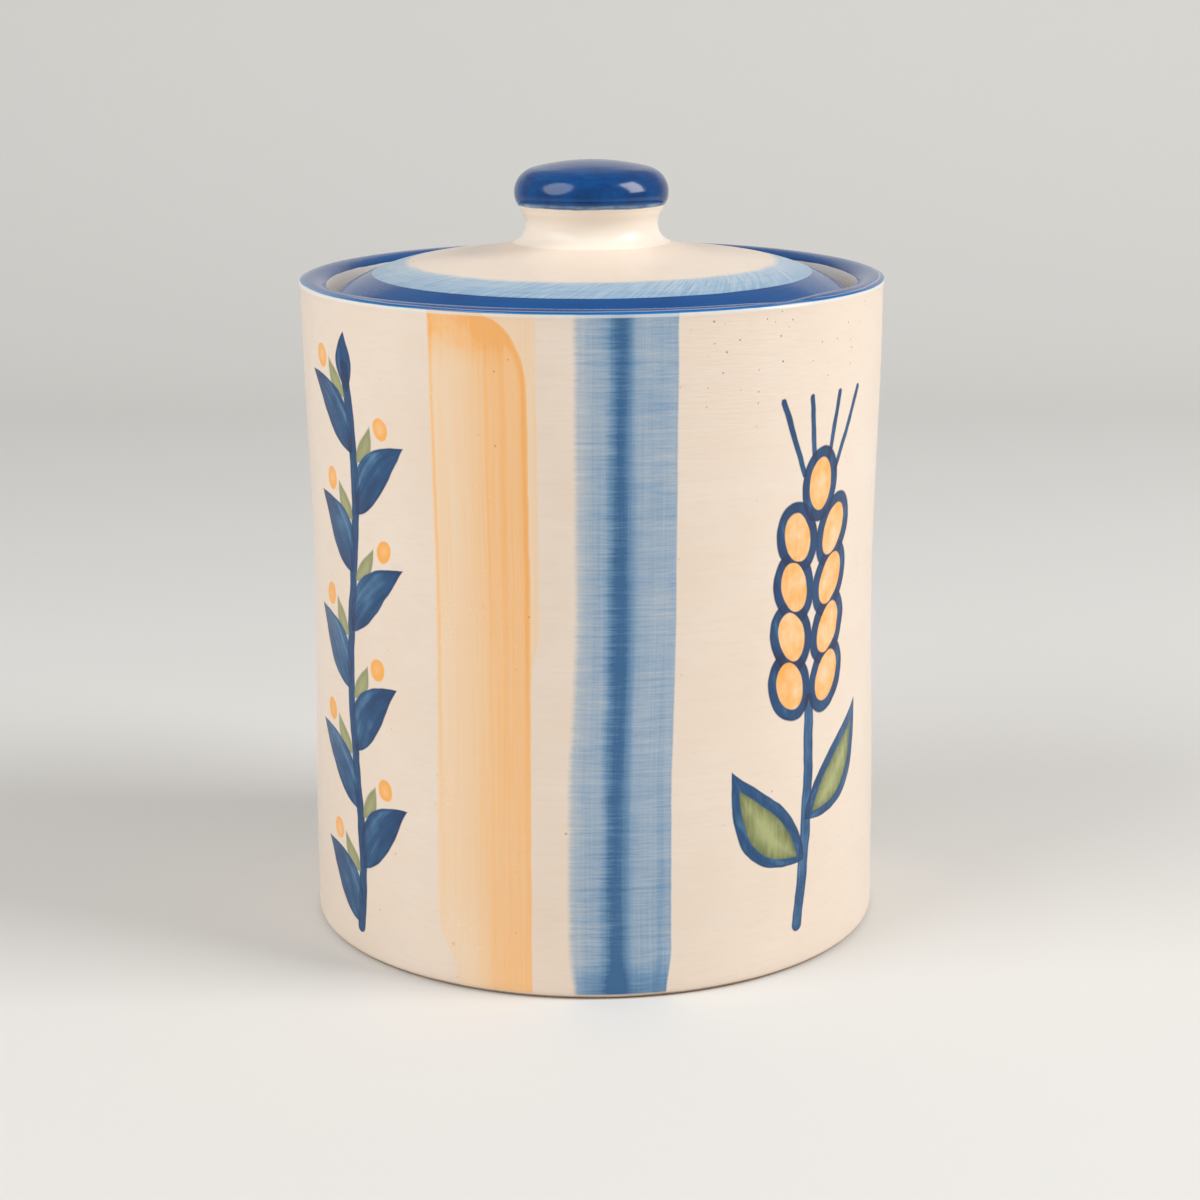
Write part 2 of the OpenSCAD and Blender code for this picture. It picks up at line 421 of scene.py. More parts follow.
class Place:
    """Where a point is on the pot, in millimetres, and the textures laid out from there."""

    def __init__(self, tree):
        self.tree = tree
        coordinates = tree.nodes.new("ShaderNodeTexCoord")
        parts = tree.nodes.new("ShaderNodeSeparateXYZ")
        tree.links.new(coordinates.outputs["Object"], parts.inputs[0])
        self.x, self.y, self.z = (Field(tree, s) * PER_METRE for s in parts.outputs)
        self.r = (self.x * self.x + self.y * self.y).root()
        self.angle = self.x.math("ARCTAN2", self.x, self.y * -1)
        self.east = self.x / self.r.most(0.1)
        self.north = self.y / self.r.most(0.1)

    def vector(self, x, y, z):
        node = self.tree.nodes.new("ShaderNodeCombineXYZ")
        for entry, value in zip(node.inputs, (x, y, z)):
            feed(self.tree, entry, value)
        return node.outputs[0]

    def noise(self, x, y, z, detail=2.0, rough=0.5):
        """Smooth noise from -1 to 1, at places given in units of its grain."""
        node = self.tree.nodes.new("ShaderNodeTexNoise")
        self.tree.links.new(self.vector(x, y, z), node.inputs["Vector"])
        node.inputs["Scale"].default_value = 1.0
        node.inputs["Detail"].default_value = detail
        node.inputs["Roughness"].default_value = rough
        return (Field(self.tree, node.outputs[0]) - 0.5) * 2

    def cloud(self, size, detail=2.0, seed=0.0):
        """Noise alike in all directions, with patches of a given size."""
        return self.noise(self.x / size + seed, self.y / size, self.z / size, detail)

    def throwing(self, across, along, seed=0.0, detail=3.0):
        """Noise drawn out round the pot, as throwing lines are."""
        around = RIM_R / along
        return self.noise(self.east * around, self.north * around, self.z / across + seed, detail, 0.6)

    def brushed(self, across, along, seed=0.0, slant=0.0):
        """Noise in rings about the axis, as a banding brush leaves, or slanting across them."""
        around = RIM_R / along
        place = self.r + self.angle * slant
        return self.noise(self.east * around + seed, self.north * around, place / across, 3.0, 0.6)

    def specks(self, spacing, radius, share, seed=0.0):
        """Small round spots, in the given share of cells about one spacing wide."""
        node = self.tree.nodes.new("ShaderNodeTexVoronoi")
        place = self.vector(self.x / spacing + seed, self.y / spacing, self.z / spacing)
        self.tree.links.new(place, node.inputs["Vector"])
        node.inputs["Scale"].default_value = 1.0
        chance = self.tree.nodes.new("ShaderNodeSeparateXYZ")
        self.tree.links.new(node.outputs["Color"], chance.inputs[0])
        kept = 1 - Field(self.tree, chance.outputs[0]).step(share - 0.001, share)
        size = (Field(self.tree, chance.outputs[1]) * 0.6 + 0.4) * radius
        distance = Field(self.tree, node.outputs["Distance"]) * spacing
        return (1 - distance.step(size * 0.5, size)) * kept


# Sockets of a Mix node that mixes colours
MIX_FACTOR = 0
MIX_UNDER = 6
MIX_OVER = 7
MIX_RESULT = 2


class Paint:
    """A colour built up layer by layer on a surface."""

    def __init__(self, tree, colour):
        self.tree = tree
        self.colour = colour

    def layer(self, cover, colour):
        """Lays colour, which is plain or a socket, over what is there, as far as cover says."""
        node = self.tree.nodes.new("ShaderNodeMix")
        node.data_type = "RGBA"
        under, over = node.inputs[MIX_UNDER], node.inputs[MIX_OVER]
        feed(self.tree, node.inputs[MIX_FACTOR], cover)
        for entry, value in ((under, self.colour), (over, colour)):
            if isinstance(value, bpy.types.NodeSocket):
                self.tree.links.new(value, entry)
            else:
                entry.default_value = value
        self.colour = node.outputs[MIX_RESULT]


def shades(field, *stops):
    """A colour picked by the field along stops of (place, colour)."""
    node = field.tree.nodes.new("ShaderNodeValToRGB")
    feed(field.tree, node.inputs[0], field)
    ramp = node.color_ramp
    while len(ramp.elements) < len(stops):
        ramp.elements.new(0.5)
    for element, (place, colour) in zip(ramp.elements, stops):
        element.position = place
        element.color = colour
    return node.outputs[0]


# Colours, as they look in plain light
CREAM = srgb(235, 218, 201)
CREAM_WARM = srgb(229, 207, 185)
CREAM_COOL = srgb(238, 225, 211)
CREAM_PAINTED_LIGHT = srgb(246, 236, 222)
# Painted light: a paler cream that makes the gallery and the knob's neck look lit
CLAY = srgb(196, 170, 140)
CLAY_DARK = srgb(160, 130, 100)
SPECK = srgb(96, 72, 52)
OCHRE_THIN = srgb(241, 212, 178)
OCHRE = srgb(245, 199, 146)
OCHRE_DEEP = srgb(248, 188, 120)
OCHRE_POOL = srgb(247, 173, 84)
BLUE_THIN = srgb(200, 201, 199)
BLUE_SOFT = srgb(154, 173, 192)
BLUE_MID = srgb(110, 146, 178)
BLUE_DEEP = srgb(50, 98, 142)
LID_BLUE_PALE = srgb(190, 205, 214)
LID_BLUE = srgb(146, 178, 202)
LID_BLUE_DEEP = srgb(104, 150, 188)
COBALT = srgb(0, 71, 134)
COBALT_DARK = srgb(0, 50, 104)
COBALT_LIGHT = srgb(0, 94, 156)
# A painted reflection of a lamp, as a lavender line along the rim's crest
LAVENDER_REFLECTION = srgb(176, 180, 208)
# A painted highlight, as a whitish line on the cream just under the rim's painted edge
RIM_UNDER_HIGHLIGHT = srgb(232, 236, 236)
# The bright blue where the rim's paint ends and runs thin, partly a painted highlight on the rounded
# edge
EDGE_BLUE = srgb(0, 118, 182)
INK_THIN = srgb(84, 128, 164)
INK_MID = srgb(24, 76, 120)
INK = srgb(8, 46, 92)
INK_DARK = srgb(18, 28, 62)
LEAF_GREEN = srgb(88, 98, 50)
LEAF_LIGHT = srgb(168, 172, 116)


# Coats and motifs

PAINT_R = 87.5          # Radius at which angles round the wall are turned into millimetres
OCHRE_AT = -21.5        # Angles of the middle of each design, in degrees from the front
BLUE_AT = 6.0
GARLAND_AT = -54.0
SPRIG_AT = 47.0
OCHRE_EDGES = (-14.6, 14.9)
BLUE_EDGES = (-14.0, 14.9)
HALF_TURN = math.pi


def across(place, degrees):
    """Millimetres round the wall from a design's middle. Each design is painted twice."""
    off = (place.angle - math.radians(degrees)).wrap(-HALF_TURN / 2, HALF_TURN / 2)
    return off * PAINT_R


def lay_ochre(paint, place):
    """A broad wash of ochre with a second, richer coat that starts in a rounded shoulder."""
    z = place.z
    sway = place.noise(z / 45, OCHRE_AT, 0.0) * 0.7 + place.noise(z / 9, OCHRE_AT, 4.0) * 0.15
    u = across(place, OCHRE_AT) + sway
    streak = place.noise(u / 0.8, z / 60, 2.0, 3.0, 0.65)
    broad = place.noise(u / 3.6, z / 150, 7.0)
    blot = place.cloud(5.0, 3.0, seed=33)
    left = OCHRE_EDGES[0] + (1 - z.step(4, 22)) * 6
    right = OCHRE_EDGES[1] + z.step(92, 112) * 2.6
    wash = u.step(left - 0.4, left + 0.4) * (1 - u.step(right - 0.35, right + 0.35))
    side = ((u - 1) / 14).most(0)
    top = ((z - 177 - (1 - u.step(-1, 4)) * 3) / 22).most(0)
    shoulder = (side * side + top * top).root() + place.cloud(7, seed=41) * 0.02
    coat = 1 - shoulder.step(0.96, 1.02)
    rich = u.step(-9, 8) * 0.34
    fade = 0.12 + z.step(40, 130) * 0.88
    rim_pool = z.step(183, 198) * (0.5 + blot * 0.55)
    rim_pool = rim_pool + shoulder.band(0.88, 0.98, 0.06) * fade * 0.24
    lines = sum((u - at + place.noise(z / 30, at, 5.0) * 0.4).band(-half, half, 0.45) * strength
                for at, half, strength in
                ((-13.8, 0.45, 0.34), (3.2, 0.5, 0.16), (7.6, 0.7, 0.16), (13.9, 0.4, 0.3)))
    depth = 0.22 + coat * (rich + rim_pool + 0.03 + lines * fade) + streak * 0.2 + broad * 0.09
    depth = depth * (1 - 0.5 * (1 - z.step(2, 40)) * (1 - u.step(-8, 6)))
    colour = shades(depth, (0.0, CREAM_WARM), (0.18, OCHRE_THIN), (0.45, OCHRE),
                    (0.65, OCHRE_DEEP), (0.95, OCHRE_POOL))
    paint.layer(wash * (0.9 + streak * 0.1), colour)
    return wash


def lay_blue(paint, place):
    """A grey-blue stripe with a soft left side, a dark middle line and a crisp right side."""
    z = place.z
    sway = place.noise(z / 50, BLUE_AT, 0.0) * 0.6 + place.noise(z / 8, BLUE_AT, 4.0) * 0.12
    lower = 1 - z.step(58, 118)
    u = across(place, BLUE_AT) + lower * 1.7 + sway
    drawn_in = (1 - z.step(0, 16)) * 1.6
    left = BLUE_EDGES[0] + drawn_in - lower * 0.8
    right = BLUE_EDGES[1] - drawn_in
    hairs = place.throwing(0.42, 7, 3.0, 2.0)
    lines = place.throwing(0.8, 26, 5.0)
    fringe = u + hairs * 0.2 + lines * 0.5
    cover = fringe.step(left - 0.8, left + 1.4) * (1 - u.step(right - 0.3, right + 0.3))
    streak = place.noise(u / 0.7, z / 60, 1.0, 3.0, 0.65)
    broad = place.noise(u / 5, z / 70, 5.0)
    blot = place.cloud(9, seed=51)
    off = abs(fringe + 1.2 + blot * 0.6)
    middle = 1 - (off / (3.1 + broad * 0.7)).step(0.05, 1.7)
    around = 1 - off.step(1.5, 8)
    weave = place.noise(u / 0.45, z / 0.45, 9.0, 2.0, 0.6)
    edge = u.band(right - 4.2, right - 2.4, 0.5) * (1 - z.step(60, 120)) * 0.07
    low = (1 - (z + lines * 2.5).step(4, 13)) * 0.26 + (1 - z.step(20, 90)) * 0.05
    bars = sum((z - at + place.cloud(16, seed=61) * 1.2).band(-0.3, 0.3, 0.5) * 0.11
               for at in (22.0, 33.5, 51.0, 186.0))
    depth = (0.2 + fringe.step(left, left + 6.5) * 0.2 + middle * 0.48 + around * 0.1
             + edge + low + bars + hairs * 0.18 + lines * 0.17 + streak * 0.13
             + weave * 0.1 + broad * 0.08 + blot * 0.09)
    colour = shades(depth, (0.05, BLUE_THIN), (0.4, BLUE_SOFT), (0.64, BLUE_MID), (0.98, BLUE_DEEP))
    paint.layer(cover, colour)
    return cover


class Stroke:
    """A brush stroke between two points of a flat design: where it covers, and how."""

    def __init__(self, u, v, start, end, half_width, bend=0.0, swell=0.0):
        run = (end[0] - start[0], end[1] - start[1])
        length = math.hypot(*run)
        east, north = run[0] / length, run[1] / length
        du, dv = u - start[0], v - start[1]
        t = (du * east + dv * north) / length
        self.along = t.clip()
        off = du * -north + dv * east - self.along * (1 - self.along) * 4 * bend
        past = (t - self.along) * length
        width = ((self.along ** swell) * math.pi).sin() * half_width if swell else half_width
        self.inside = width - (off * off + past * past).root()
        self.side = (off / half_width).clip(-1, 1)


class Oval:
    """A filled oval; tilt is how far its long axis leans from upright, in degrees."""

    def __init__(self, u, v, centre, half_width, half_length, tilt):
        east, north = math.sin(math.radians(tilt)), math.cos(math.radians(tilt))
        du, dv = u - centre[0], v - centre[1]
        length = (du * east + dv * north) / half_length
        self.side = (du * north - dv * east) / half_width
        self.inside = (1 - (length * length + self.side * self.side).root()) * half_width


def ink(depth):
    """Cobalt brushwork: thin and bright to thick and dark."""
    return shades(depth, (0.0, INK_THIN), (0.4, INK_MID), (0.75, INK), (1.0, INK_DARK))


def bristles(place, stroke, seed):
    """Fine streaks along a stroke, as the brush's hairs leave them."""
    return place.noise(stroke.side * 4, stroke.along * 1.6, seed, 3.0, 0.6)


def hand(place, u, v, amount, size):
    """u and v with the small wander of a hand-held brush."""
    du = place.noise(u / size, v / size, 3.0) * amount
    dv = place.noise(u / size, v / size, 8.0) * amount
    return u + du, v + dv


def brush(paint, shape, depth, covered=None):
    """Lays one cobalt stroke, darker where paint was before and pooled along its edge."""
    load = depth + (1 - shape.inside.step(0.0, 0.9)) * 0.16
    load = load - shape.side.band(0.45, 0.62, 0.12) * 0.22 * shape.inside.step(0.6, 1.4)
    if covered is not None:
        load = load + covered * 0.22
    cover = shape.inside.step(-0.25, 0.25)
    paint.layer(cover, ink(load))
    return cover if covered is None else covered.most(cover)


LEAF_PITCH = 36.0       # Height from one leaf to the next on the same side
LEAF_PAIRS = 5
GARLAND_LOW = 7.0
SWAY_PITCH = 120.0      # Height of one full bend of the garland's stem
SWAY = 3.0


def lay_garland(paint, place):
    """An upright leafy stem: broad brushed leaves to either side, with berries and buds."""
    u, v = hand(place, across(place, GARLAND_AT), place.z, 0.8, 12)
    u = u - (v * (2 * math.pi / SWAY_PITCH)).sin() * SWAY
    grain = place.noise(u / 1.2, v / 16, 2.0, 3.0, 0.6)
    patch = place.cloud(10, seed=31)
    leaves = []
    for side in (-1, 1):
        s = u * side
        place_up = (v - GARLAND_LOW - (LEAF_PITCH / 2 if side > 0 else 0)) / LEAF_PITCH
        count = place_up.floor()
        last = LEAF_PAIRS - 0.5 - (side > 0)
        whole = count.step(-0.6, -0.4) * (1 - count.step(last - 0.1, last + 0.1))
        w = (place_up - count) * LEAF_PITCH
        vary = place.noise(count * 5.7, float(side), 0.5)
        s = s * (1 + vary * 0.12)
        gone = (1 - whole) * 50
        shade = Stroke(s + 2.5, w + 2.0, (2, 5), (24, 27), 6.6, bend=3.5, swell=0.8)
        paint.layer((shade.inside - gone).step(-0.8, 1.2) * (0.6 + patch * 0.3), LID_BLUE_PALE)
        leaves.append((side, s, w, count, vary, gone))
    stem = Stroke(u, v, (0, 10), (0, 180), 2.0)
    covered = brush(paint, stem, 0.5 + grain * 0.15 + patch * 0.2)
    for side, s, w, count, vary, gone in leaves:
        dab = Stroke(s, w, (1.5, 20), (9.5, 31), 2.8, bend=-1.2, swell=0.8)
        berry = Oval(s, w, (14.2, 30.6), 3.2, 3.4, 0)
        leaf = Stroke(s, w, (0.5, 4), (23, 26), 6.4, bend=3.2, swell=0.78)
        for shape in (dab, berry, leaf):
            shape.inside = shape.inside - gone
        paint.layer(dab.inside.step(-0.3, 0.5) * 0.9, shades(
            0.45 + grain * 0.3 + dab.inside * 0.12, (0.2, LEAF_GREEN), (0.95, LEAF_LIGHT)))
        paint.layer(berry.inside.step(-0.2, 0.3), shades(
            0.95 - berry.inside * 0.15 + patch * 0.5,
            (0.2, OCHRE), (0.55, OCHRE_DEEP), (0.85, OCHRE_POOL)))
        hairs = bristles(place, leaf, count * 3.7 + side)
        depth = (0.4 + hairs * 0.34 + patch * 0.34 + vary * 0.2 - leaf.side * 0.12
                 + leaf.along.step(0.6, 1) * 0.16)
        covered = brush(paint, leaf, depth, covered)
    tip = Stroke(u, v, (0, 173), (1.5, 190), 4.2, bend=1.0, swell=0.9)
    return brush(paint, tip, 0.5 + grain * 0.2, covered)


EAR_LOW = 88.0
GRAIN_PITCH = 14.6
GRAIN_ROWS = 4          # Pairs of grains, with one more grain at the tip
GRAIN_OUT = 8.4
GRAIN_LEAN = 24


def lay_sprig(paint, place):
    """An ear of grain on a bowed stem with two long leaves, outlined in cobalt."""
    u, v = hand(place, across(place, SPRIG_AT), place.z, 0.7, 11)
    bow = (v - 20) / 140
    u = u - bow * bow * 6 + 2
    grain = place.noise(u / 1.4, v / 9, 6.0, 3.0, 0.6)
    patch = place.cloud(8, seed=17)
    tone = 0.42 + grain * 0.2 + patch * 0.24
    stem = Stroke(u, v, (-4, 14), (0, 82), 2.1, bend=-1.5)
    covered = brush(paint, stem, tone - 0.1)
    greens = []
    for start, end, half, bend in (
            ((-1.4, 34), (-29, 66), 9.0, 4.2), ((-0.8, 46), (27, 77), 8.4, -4.2)):
        leaf = Stroke(u, v, start, end, half, bend, swell=0.8)
        covered = brush(paint, leaf, tone + bristles(place, leaf, half) * 0.3, covered)
        greens.append(leaf.inside - 3.4)
    awns = [Stroke(u, v, (lean * 0.4, 150), (lean, 172), 1.0) for lean in (-19, -7.5, 6, 17)]
    for awn in awns:
        covered = brush(paint, awn, tone, covered)
    hearts = []
    for row in range(GRAIN_ROWS + 1):
        paired = row < GRAIN_ROWS
        centre = (GRAIN_OUT if paired else 0, EAR_LOW + GRAIN_PITCH * row)
        lean = GRAIN_LEAN if paired else 0
        seed = Oval(abs(u), v, centre, 8.2, 11.2, lean)
        covered = brush(paint, seed, tone + 0.16, covered)
        hearts.append(Oval(abs(u), v, centre, 5.0, 7.8, lean).inside)
    heart = hearts[0]
    for other in hearts[1:]:
        heart = heart.most(other)
    dabs = place.cloud(4, 3.0, seed=27)
    ochre = 0.68 + patch * 0.3 + dabs * 0.6 + grain * 0.3 - heart * 0.05
    paint.layer(heart.step(-0.15, 0.2), shades(
        ochre, (0.1, OCHRE_THIN), (0.4, OCHRE), (0.62, OCHRE_DEEP), (0.9, OCHRE_POOL)))
    green = greens[0].most(greens[1])
    paint.layer(green.step(-0.3, 0.4), shades(
        green * 0.14 + grain * 0.4 + patch * 0.4 + 0.25, (0.1, LEAF_GREEN), (0.9, LEAF_LIGHT)))
    return covered


def cream_glaze(tree, place):
    """Warm cream glaze: faint throwing lines and soft clouding."""
    paint = Paint(tree, CREAM)
    lines = place.throwing(1.3, 45)
    paint.layer((place.cloud(55, seed=3) * 0.5 + lines * 0.15 + 0.3).clip(0, 0.6), CREAM_WARM)
    paint.layer((place.cloud(17, seed=9) * 0.4 + lines * 0.25 + 0.2).clip(0, 0.6), CREAM_COOL)
    grain = place.throwing(1.1, 7, 6.0, 1.0)
    paint.layer((grain * 0.6).clip(0, 0.4), CREAM_WARM)
    return paint, lines


def speckle(paint, place):
    """Iron specks and pinholes, thickest in a shower under the rim at the right."""
    shower = place.z.step(160, 180) * place.angle.band(0.3, 1.1, 0.2) * place.r.step(80, 84)
    busy = (place.cloud(45, seed=21).step(-0.2, 0.5) * 0.8 + 0.2).most(shower)
    fine = place.specks(4.6, 0.55, 0.3, seed=5)
    large = place.specks(11.0, 0.85, 0.3, seed=13)
    rain = place.specks(2.4, 0.45, 0.4, seed=29) * shower
    spots = ((fine * 0.8).most(large) * busy).most(rain)
    paint.layer(spots * 0.85, SPECK)
    return spots


def cobalt_band(place, streak, load=0.5):
    """Thick cobalt, brushed on while the pot turned."""
    return shades(load + streak * 0.4 + place.cloud(20, seed=12) * 0.25,
                  (0.1, COBALT_DARK), (0.5, COBALT), (1.0, COBALT_LIGHT))


GLAZE_IOR = 1.47
GLAZE_ROUGHNESS = 0.33
PAINT_SMOOTHING = 0.18
CLAY_ROUGHNESS = 0.85


def glazed(name, build):
    """A material whose colour, gloss and relief come from build."""
    material = bpy.data.materials.new(name)
    material.use_nodes = True
    tree = material.node_tree
    shader = tree.nodes["Principled BSDF"]
    shader.inputs["IOR"].default_value = GLAZE_IOR
    colour, roughness, height = build(tree, Place(tree))
    tree.links.new(colour, shader.inputs["Base Color"])
    feed(tree, shader.inputs["Roughness"], roughness)
    bump = tree.nodes.new("ShaderNodeBump")
    bump.inputs["Strength"].default_value = 1.0
    bump.inputs["Distance"].default_value = MM
    feed(tree, bump.inputs["Height"], height)
    tree.links.new(bump.outputs[0], shader.inputs["Normal"])
    return material


def bare(paint, place, where):
    """Unglazed clay, where nothing was painted because the piece stood or sat there."""
    grit = place.cloud(1.1, 4.0, seed=2)
    tone = 0.5 + grit * 0.4 + place.cloud(14, seed=6) * 0.3
    paint.layer(where, shades(tone, (0.1, CLAY_DARK), (0.7, CLAY)))
    return grit


def gloss(place, painted, clay):
    """Roughness of the glaze, a little uneven, glassier over paint and dry where bare."""
    uneven = place.cloud(26, seed=4) * 0.04 + place.cloud(3.0, seed=8) * 0.02
    glaze = GLAZE_ROUGHNESS + uneven - painted * PAINT_SMOOTHING
    return glaze * (1 - clay) + clay * CLAY_ROUGHNESS


def paint_wall(paint, place, wall):
    """The stripes and designs, where wall says. Returns where they cover."""
    outside = Paint(paint.tree, paint.colour)
    painted = lay_ochre(outside, place)
    for lay in (lay_blue, lay_garland, lay_sprig):
        painted = painted.most(lay(outside, place))
    paint.layer(wall, outside.colour)
    return painted


def paint_rim(paint, place):
    """Cobalt over the rim, ending outside in a bright edge that is partly a painted highlight, with a
    painted reflection on the crest and a painted highlight under the edge. Returns where it covers.
    """
    rim = place.z - RIM_EDGE_Z
    streak = place.brushed(0.7, 40)
    inner = 1 - place.r.step(RIM_R - RIM_W / 2 - 0.5, RIM_R - RIM_W / 2 + 0.5)
    edge = rim + place.brushed(9.0, 22) * (0.12 + inner * 0.3) + inner * 1.3
    # A painted highlight: a whitish line on the cream just under the painted edge
    under = rim.band(-1.0, -0.1, 0.25) * place.r.step(RIM_R - 2, RIM_R - 1.5)
    paint.layer(under * 0.6, RIM_UNDER_HIGHLIGHT)
    band = edge.step(-0.08, 0.1) * place.r.step(GALLERY_R - 1.2, GALLERY_R - 0.6)
    paint.layer(band, cobalt_band(place, streak))
    outer = place.r.step(RIM_R - 2.4, RIM_R - 1.8)
    # A painted reflection: a lavender line of lamp light along the crest's outer rounding
    paint.layer(edge.band(0.5, 0.68, 0.1) * outer * (0.6 + streak * 0.5).clip(), LAVENDER_REFLECTION)
    # A bright blue line at the edge, where the paint runs thin, partly a painted highlight on the
    # rounded edge
    paint.layer(edge.band(-0.1, 0.3, 0.1) * outer * 0.9, EDGE_BLUE)
    return band


def unglazed(place):
    """The ledge that the lid sits on and the ring that the jar stands on."""
    across_ledge = place.r.band(MOUTH_R + 0.6, GALLERY_R - 1.0, 0.3)
    ledge = place.z.band(LEDGE_Z - 0.6, LEDGE_Z + 0.5, 0.15) * across_ledge
    foot = (1 - (place.z + place.cloud(12, seed=19) * 0.25).step(0.9, 1.3)) * place.r.step(70, 71)
    return ledge.most(foot * (1 - place.z.step(1.3, 1.4)))


def jar_surface(tree, place):
    """Cream glaze, the painted wall, the cobalt rim, and bare clay on ledge and foot."""
    paint, lines = cream_glaze(tree, place)
    wall = place.r.step(84, 84.5) * place.z.step(1, 2)
    painted = paint_wall(paint, place, wall)
    spots = speckle(paint, place)
    # Painted light: the gallery wall above the ledge is painted paler, so it looks lit where it would
    # be in shade
    gallery = place.r.band(MOUTH_R, GALLERY_R + 0.4, 0.5) * place.z.step(LEDGE_Z, LEDGE_Z + 2)
    paint.layer(gallery * 0.8, CREAM_PAINTED_LIGHT)
    band = paint_rim(paint, place)
    clay = unglazed(place)
    grit = bare(paint, place, clay)
    ringed = place.z.step(140, 178) * place.angle.band(0.15, 0.95, 0.25) * wall
    ridges = place.throwing(0.9, 8, 11.0)
    height = (lines * 0.03 + ridges * ringed * 0.08 + place.cloud(3.2, seed=15) * 0.012
              + painted * wall * 0.02 + place.throwing(0.7, 30, 3.0) * 0.008
              - spots * 0.05 + clay * grit * 0.05)
    return paint.colour, gloss(place, (painted * wall * 0.4).most(band), clay), height


LIGHT_BAND_R = (54.4, 57.6)     # Where the lid's bands begin: first touch and full cover
DARK_BAND_R = (66.7, 67.1)
LIGHT_BAND_MIDDLE = 61


def lid_surface(tree, place):
    """Cream glaze with a light and a cobalt band round the top, and a bare seat ring."""
    paint, _ = cream_glaze(tree, place)
    spots = speckle(paint, place)
    r = place.r
    outside = (LID_R - 4 - r).most(0) * 10
    above = (place.z - (LEDGE_Z + 3.6) + outside).step(-0.5, 0.5)
    above = above * place.z.step(LEDGE_Z + 1.2, LEDGE_Z + 1.8)
    streak = place.brushed(0.8, 36, seed=2)
    soft = place.brushed(1.6, 14, seed=5)
    hairs = place.brushed(0.7, 11, seed=3, slant=65.0)
    pale = (r + soft).step(*LIGHT_BAND_R) * above
    paint.layer(pale * (0.9 + streak * 0.15), shades(
        0.53 + (r - LIGHT_BAND_MIDDLE) * 0.03 + streak * 0.12 + soft * 0.15 + hairs * 0.95,
        (0.1, LID_BLUE_PALE), (0.55, LID_BLUE), (1.0, LID_BLUE_DEEP)))
    dark = (r + place.brushed(9.0, 20, seed=8) * 0.25).step(*DARK_BAND_R) * above
    paint.layer(dark, cobalt_band(place, streak * 0.6, 0.55))
    paint.layer(r.band(66.9, 67.3, 0.2) * above * 0.6, COBALT_DARK)
    seat = (1 - place.z.step(LEDGE_Z + 0.5, LEDGE_Z + 0.9)) * r.step(69, 69.5)
    grit = bare(paint, place, seat)
    relief = place.brushed(1.3, 50) * r.step(28, 34)
    height = (relief * 0.025 + place.cloud(3.2, seed=15) * 0.012
              + pale * streak * 0.01 - spots * 0.05 + seat * grit * 0.05)
    return paint.colour, gloss(place, dark, seat), height


def knob_surface(tree, place):
    """A cobalt cap that thins out in drips over the cream neck, which is painted paler as painted
    light.
    """
    paint, _ = cream_glaze(tree, place)
    spots = speckle(paint, place)
    up = place.z - (CAP_Z - CAP_ROUND * 0.46) + place.throwing(6, 34, seed=4) * 0.4
    # Over the whole outside of the cap, but not in the hollow under it
    cap = up.step(-0.2, 0.2) * place.r.most(place.z - LAND_Z - KNOB_H + 20).step(15.5, 16)
    streak = place.brushed(0.9, 20, seed=3)
    mottle = place.cloud(4, 3.0, seed=35)
    drip = (place.throwing(3.0, 44, seed=7) * 1.6 + 0.5).clip(0, 0.85)
    # Painted light: all of the knob below the cap is painted paler, so that the neck looks lit under
    # the cap
    paint.layer((1 - cap) * 0.7, CREAM_PAINTED_LIGHT)
    paint.layer(cap, cobalt_band(place, streak + mottle * 0.5, 0.34))
    paint.layer(cap * (1 - up.step(0.4, 1.5)) * drip, LID_BLUE)
    height = place.brushed(1.5, 30) * cap * 0.015 + place.cloud(3.2, seed=15) * 0.012 - spots * 0.05
    return paint.colour, gloss(place, cap, place.z * 0.0), height


# Pieces

GLAZE_ROUND = 0.45      # How far glaze rounds a corner
FINE_STEP = 1.6
COARSE_STEP = 3.5
FINE_FROM_Z = 175


def outer_step(point):
    """Longest step along the jar's outline: fine outside and at the top, coarser inside."""
    outside = point[0] > wall_radius(point[1]) - 2
    return FINE_STEP if outside or point[1] > FINE_FROM_Z else COARSE_STEP


def make_piece(name, points, warp, surface, body, node, closed=False):
    """Turns one piece, glazes it and puts it in the place of its CAD node."""
    piece = turned(name, points, warp, closed)
    piece.data.materials.append(glazed(name + "_glaze", surface))
    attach(piece, body)
    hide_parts(node)


hollow_r = NECK_R - KNOB_T
hollow_z = LAND_Z + KNOB_H - KNOB_T
knob_inside = [(0, hollow_z), (hollow_r, hollow_z), (hollow_r, LAND_Z)]
jar_points = thin(soften(jar_outline(), GLAZE_ROUND), 7.0, outer_step)
lid_skin = thin(soften(lid_outline(), GLAZE_ROUND), 7.0, FINE_STEP)
lid_points = np.vstack([lid_skin, [[VENT_R, LAND_Z]]])
knob_points = np.vstack([knob_inside, thin(soften(knob_outline(), GLAZE_ROUND), 5.0, 1.0)])
make_piece("jar_body", jar_points, jar_warp, jar_surface, "jar", "jar")
make_piece("lid_dome", lid_points, lid_warp, lid_surface, "lid", "lid", closed=True)
make_piece("lid_handle", knob_points, knob_warp, knob_surface, "lid", "lid_knob")


# Camera, at the photograph's viewing angle

CAMERA_PLACE = (0.00202, -0.79445, 0.29592)
CAMERA_PITCH = 0.24453
CAMERA_ROLL = -0.00444
FOCAL_PIXELS = 2609.4
FRAME_PIXELS = 1200
SENSOR_MM = 36


